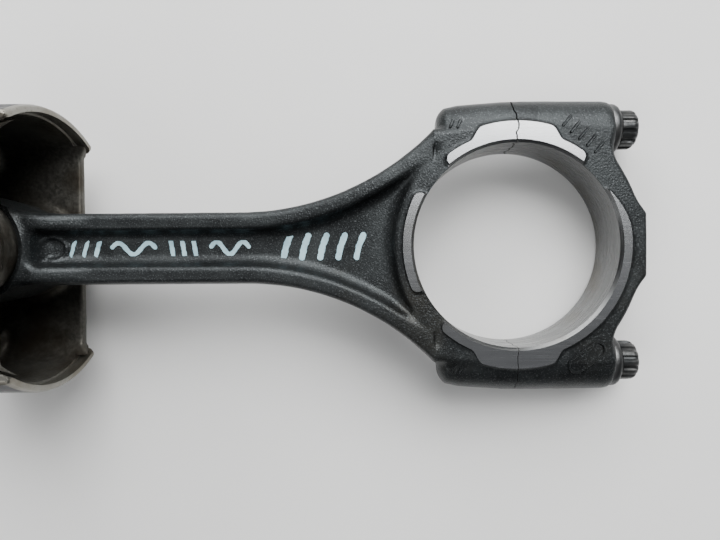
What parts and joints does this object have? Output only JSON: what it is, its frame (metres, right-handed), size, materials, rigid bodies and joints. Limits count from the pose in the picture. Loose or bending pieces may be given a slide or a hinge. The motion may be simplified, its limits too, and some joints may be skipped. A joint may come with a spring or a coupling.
{
  "type": "connecting rod with piston",
  "caption": "Forged I-beam connecting rod with a fracture-split big end and bolted cap, carrying a box-type piston that swings on its wrist pin.",
  "frame": {"origin": "centre of the assembly's bounding box, on the rod's mid-plane and centreline", "axes": "+X along the rod towards the cap, -X towards the piston crown; +Z along the crank bore and wrist pin; +Y across the rod"},
  "size_m": [0.2218, 0.0846, 0.0844],
  "materials": {
    "forged_steel": "dark shot-blasted forging skin, with satin ground faces round the crank bore",
    "bolt_steel": "black phosphate with worn edges",
    "bush_bronze": "bored bronze",
    "piston_alloy": "cast and turned alloy, oil stained",
    "ground_steel": "fine ground and lapped",
    "spring_steel": "drawn spring wire and strip",
    "ring_steel": "lapped nitrided steel",
    "ring_iron": "phosphated cast iron"
  },
  "bodies": {
    "rod": {"rod_body": "forged_steel", "small_end_bush": "bush_bronze"},
    "cap": {"rod_cap": "forged_steel"},
    "bolt_left": {"cap_bolt_left": "bolt_steel"},
    "bolt_right": {"cap_bolt_right": "bolt_steel"},
    "piston": {"piston": "piston_alloy", "circlip_upper": "spring_steel", "circlip_lower": "spring_steel"},
    "wrist_pin": {"wrist_pin": "ground_steel"},
    "top_ring": {"top_ring": "ring_steel"},
    "second_ring": {"second_ring": "ring_iron"},
    "oil_ring": {"oil_rail_crown_side": "ring_steel", "oil_ring_expander": "spring_steel", "oil_rail_skirt_side": "ring_steel"}
  },
  "joints": [
    {"name": "piston_swing", "type": "hinge", "parent": "rod", "child": "piston", "pos_m": [-0.0809, 0, 0], "axis": [0, 0, 1], "range_deg": [-48, 48]},
    {"name": "pin_turn", "type": "hinge", "parent": "piston", "child": "wrist_pin", "pos_m": [-0.0809, 0, 0], "axis": [0, 0, 1], "continuous": true},
    {"name": "top_ring_turn", "type": "hinge", "parent": "piston", "child": "top_ring", "pos_m": [-0.10465, 0, 0], "axis": [1, 0, 0], "continuous": true},
    {"name": "second_ring_turn", "type": "hinge", "parent": "piston", "child": "second_ring", "pos_m": [-0.099, 0, 0], "axis": [1, 0, 0], "continuous": true},
    {"name": "oil_ring_turn", "type": "hinge", "parent": "piston", "child": "oil_ring", "pos_m": [-0.0949, 0, 0], "axis": [1, 0, 0], "continuous": true},
    {"name": "cap_lift_off", "type": "slide", "parent": "rod", "child": "cap", "axis": [1, 0, 0], "range_m": [0, 0.05]},
    {"name": "bolt_left_turn", "type": "hinge", "parent": "cap", "child": "bolt_left", "pos_m": [0.1019, 0.0338, 0], "axis": [1, 0, 0], "continuous": true},
    {"name": "bolt_right_turn", "type": "hinge", "parent": "cap", "child": "bolt_right", "pos_m": [0.1019, -0.0338, 0], "axis": [1, 0, 0], "continuous": true}
  ]
}
